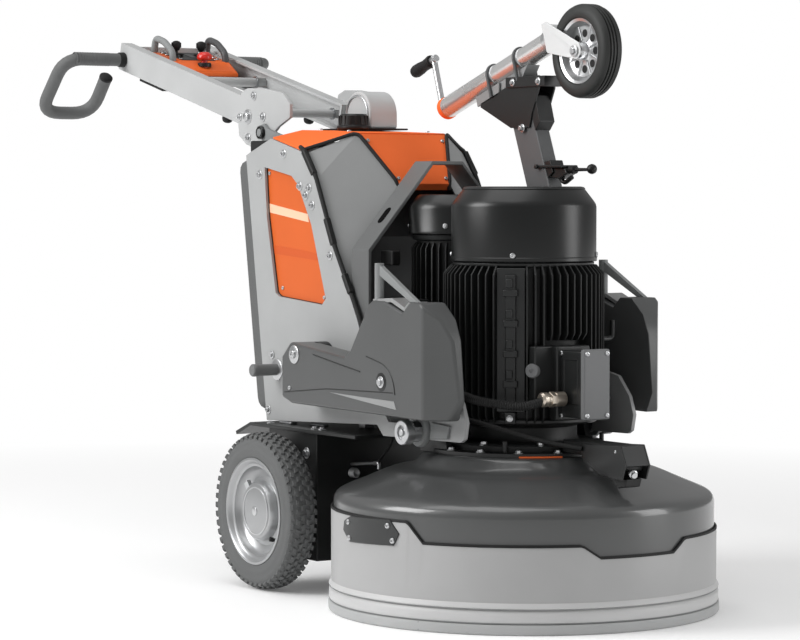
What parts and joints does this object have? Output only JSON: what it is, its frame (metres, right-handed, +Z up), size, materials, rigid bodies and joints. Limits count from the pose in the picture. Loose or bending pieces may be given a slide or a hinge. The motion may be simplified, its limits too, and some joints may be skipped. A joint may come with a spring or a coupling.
{
  "type": "walk-behind floor grinder",
  "caption": "Walk-behind planetary floor grinder with a round grinding head, swing weights, remote-control tray and folding transport wheel.",
  "frame": {"origin": "on the floor, under the middle of the machine's bounding box", "axes": "+X forward towards the grinding head, +Y to the machine's left, +Z up"},
  "size_m": [2.1482, 0.816, 1.267],
  "materials": {
    "bare_aluminium": "machined aluminium",
    "black_paint": "satin black paint",
    "black_rubber": "black rubber",
    "black_tyre": "black solid tyre",
    "bright_steel": "chrome plate",
    "cast_casing": "black-painted cast aluminium",
    "dark_grey_paint": "satin dark-grey paint",
    "dark_grey_rubber": "dark-grey grip rubber",
    "dark_plastic": "dark-grey moulded plastic",
    "light_grey_paint": "satin light-grey powder coat",
    "machined_steel": "machined steel",
    "orange_paint": "gloss orange paint",
    "orange_plastic": "orange plastic",
    "pale_tyre": "pale grey non-marking tyre",
    "red_plastic": "red push button",
    "zinc_plate": "bright zinc plate"
  },
  "bodies": {
    "chassis": {"side_plate_right": "light_grey_paint", "side_plate_left": "light_grey_paint", "window_panel_right": "orange_paint", "window_panel_left": "orange_paint", "top_cover": "orange_paint", "front_panel": "orange_paint", "corner_panel_right": "light_grey_paint", "corner_panel_left": "light_grey_paint", "cabinet_liner": "dark_grey_paint", "inverter": "dark_plastic", "axle_housing": "black_paint", "base_plate": "black_paint", "rest_peg_right": "dark_grey_rubber", "rest_peg_left": "dark_grey_rubber", "guard_loop": "dark_grey_paint", "hose_saddle": "light_grey_paint", "handle_hinge_bracket": "light_grey_paint"},
    "rear_door": {"rear_door": "dark_plastic"},
    "wheel_right": {"tyre_right": "pale_tyre", "rim_right": "zinc_plate"},
    "wheel_left": {"tyre_left": "pale_tyre", "rim_left": "zinc_plate"},
    "weight_arm_right": {"weight_right": "dark_grey_paint", "weight_handle_right": "light_grey_paint"},
    "weight_arm_left": {"weight_left": "dark_grey_paint", "weight_handle_left": "light_grey_paint"},
    "handle": {"handle_frame": "light_grey_paint", "handle_bracket_right": "light_grey_paint", "handle_bracket_left": "light_grey_paint"},
    "grip_right": {"handle_grip_right": "dark_grey_rubber"},
    "grip_left": {"handle_grip_left": "dark_grey_rubber"},
    "remote": {"remote_body": "orange_plastic"},
    "stop_button": {"emergency_stop": "red_plastic"},
    "lever_right": {"joystick_right": "black_rubber"},
    "lever_left": {"joystick_left": "black_rubber"},
    "transport_arm": {"transport_mast": "dark_grey_paint", "jockey_tube": "bright_steel"},
    "crank": {"jockey_crank": "bright_steel"},
    "crank_grip_body": {"crank_grip": "black_rubber"},
    "jockey_slider": {"jockey_inner_tube": "machined_steel"},
    "jockey_fork_body": {"jockey_fork": "zinc_plate"},
    "jockey_wheel": {"jockey_tyre": "black_tyre", "jockey_rim": "zinc_plate"},
    "lock": {"lock_plunger": "black_paint"},
    "head": {"hood": "dark_grey_paint", "head_plate": "black_paint", "main_motor_housing": "cast_casing", "main_motor_cowl": "black_paint", "drum_motor_housing": "cast_casing", "drum_motor_cowl": "black_paint", "terminal_box": "cast_casing", "motor_conduit": "black_rubber", "front_junction_box": "dark_plastic"},
    "skirt_body": {"skirt": "light_grey_paint"},
    "rotor": {"main_motor_rotor": "machined_steel"},
    "drum": {"planet_drum": "bare_aluminium"},
    "disc_1": {"grinding_disc_1": "bare_aluminium"},
    "disc_2": {"grinding_disc_2": "bare_aluminium"},
    "disc_3": {"grinding_disc_3": "bare_aluminium"}
  },
  "joints": [
    {"name": "head_float", "type": "hinge", "parent": "chassis", "child": "head", "pos_m": [0.60808, 0, 0.376], "axis": [0, 1, 0], "range_deg": [-2, 0]},
    {"name": "skirt_float", "type": "slide", "parent": "head", "child": "skirt_body", "axis": [0, 0, 1], "range_m": [0, 0.02]},
    {"name": "rotor_spin", "type": "hinge", "parent": "head", "child": "rotor", "pos_m": [0.66609, 0, 0.55], "axis": [0, 0, 1], "continuous": true},
    {"name": "drum_spin", "type": "hinge", "parent": "head", "child": "drum", "pos_m": [0.66609, 0, 0.07], "axis": [0, 0, 1], "continuous": true},
    {"name": "disc_1_spin", "type": "hinge", "parent": "drum", "child": "disc_1", "pos_m": [0.79009, 0.21477, 0.03], "axis": [0, 0, 1], "continuous": true},
    {"name": "disc_2_spin", "type": "hinge", "parent": "drum", "child": "disc_2", "pos_m": [0.41808, 0, 0.03], "axis": [0, 0, 1], "continuous": true},
    {"name": "disc_3_spin", "type": "hinge", "parent": "drum", "child": "disc_3", "pos_m": [0.79009, -0.21477, 0.03], "axis": [0, 0, 1], "continuous": true},
    {"name": "wheel_right_spin", "type": "hinge", "parent": "chassis", "child": "wheel_right", "pos_m": [0.12308, -0.306, 0.172], "axis": [0, 1, 0], "continuous": true},
    {"name": "wheel_left_spin", "type": "hinge", "parent": "chassis", "child": "wheel_left", "pos_m": [0.12308, 0.306, 0.172], "axis": [0, 1, 0], "continuous": true},
    {"name": "weight_right_swing", "type": "hinge", "parent": "chassis", "child": "weight_arm_right", "pos_m": [0.23209, -0.268, 0.509], "axis": [0, -1, 0], "range_deg": [0, 180]},
    {"name": "weight_left_swing", "type": "hinge", "parent": "chassis", "child": "weight_arm_left", "pos_m": [0.23209, 0.268, 0.509], "axis": [0, -1, 0], "range_deg": [0, 180]},
    {"name": "handle_tilt", "type": "hinge", "parent": "chassis", "child": "handle", "pos_m": [-0.16492, 0, 1.004], "axis": [0, 1, 0], "range_deg": [-15, 20]},
    {"name": "grip_right_turn", "type": "hinge", "parent": "handle", "child": "grip_right", "pos_m": [-0.87091, -0.205, 1.196], "axis": [0, 1, 0], "range_deg": [0, 44]},
    {"name": "grip_left_turn", "type": "hinge", "parent": "handle", "child": "grip_left", "pos_m": [-0.87091, 0.205, 1.196], "axis": [0, 1, 0], "range_deg": [-44, 0]},
    {"name": "remote_lift", "type": "slide", "parent": "handle", "child": "remote", "axis": [0, 0, 1], "range_m": [0, 0.15]},
    {"name": "stop_press", "type": "slide", "parent": "remote", "child": "stop_button", "axis": [0, 0, -1], "range_m": [0, 0.004], "stiffness_N_per_m": 2000},
    {"name": "lever_right_tilt", "type": "hinge", "parent": "remote", "child": "lever_right", "pos_m": [-0.77032, -0.035, 1.19585], "axis": [0, 1, 0], "range_deg": [-15, 15], "stiffness_Nm_per_rad": 0.2},
    {"name": "lever_left_tilt", "type": "hinge", "parent": "remote", "child": "lever_left", "pos_m": [-0.77032, 0.035, 1.19585], "axis": [0, 1, 0], "range_deg": [-15, 15], "stiffness_Nm_per_rad": 0.2},
    {"name": "transport_fold", "type": "hinge", "parent": "chassis", "child": "transport_arm", "pos_m": [0.64909, 0.189, 0.45], "axis": [0, 1, 0], "range_deg": [0, 110]},
    {"name": "lock_pull", "type": "slide", "parent": "transport_arm", "child": "lock", "axis": [1, 0, 0], "range_m": [0, 0.012], "stiffness_N_per_m": 800},
    {"name": "crank_turn", "type": "hinge", "parent": "transport_arm", "child": "crank", "pos_m": [0.09509, 0.189, 1.057], "axis": [-0.9483, 0, -0.3173], "range_deg": [0, 150]},
    {"name": "jockey_slide", "type": "slide", "parent": "transport_arm", "child": "jockey_slider", "axis": [0.9483, 0, 0.3173], "range_m": [0, 0.12]},
    {"name": "crank_grip_spin", "type": "hinge", "parent": "crank", "child": "crank_grip_body", "pos_m": [-0.00021, 0.189, 1.15587], "axis": [0.9483, 0, 0.3173], "continuous": true},
    {"name": "jockey_swivel", "type": "hinge", "parent": "jockey_slider", "child": "jockey_fork_body", "pos_m": [0.51643, 0.189, 1.19798], "axis": [0.9483, 0, 0.3173], "continuous": true},
    {"name": "jockey_wheel_spin", "type": "hinge", "parent": "jockey_fork_body", "child": "jockey_wheel", "pos_m": [0.62909, 0.189, 1.167], "axis": [0, 1, 0], "continuous": true},
    {"name": "rear_door_swing", "type": "hinge", "parent": "chassis", "child": "rear_door", "pos_m": [-0.11692, -0.209, 0.658], "axis": [-0.1498, 0, 0.9887], "range_deg": [0, 88]}
  ],
  "couplings": [
    {"joint": "disc_1_spin", "follows": "rotor_spin", "ratio": 0.5},
    {"joint": "disc_2_spin", "follows": "rotor_spin", "ratio": 0.5},
    {"joint": "disc_3_spin", "follows": "rotor_spin", "ratio": 0.5}
  ]
}
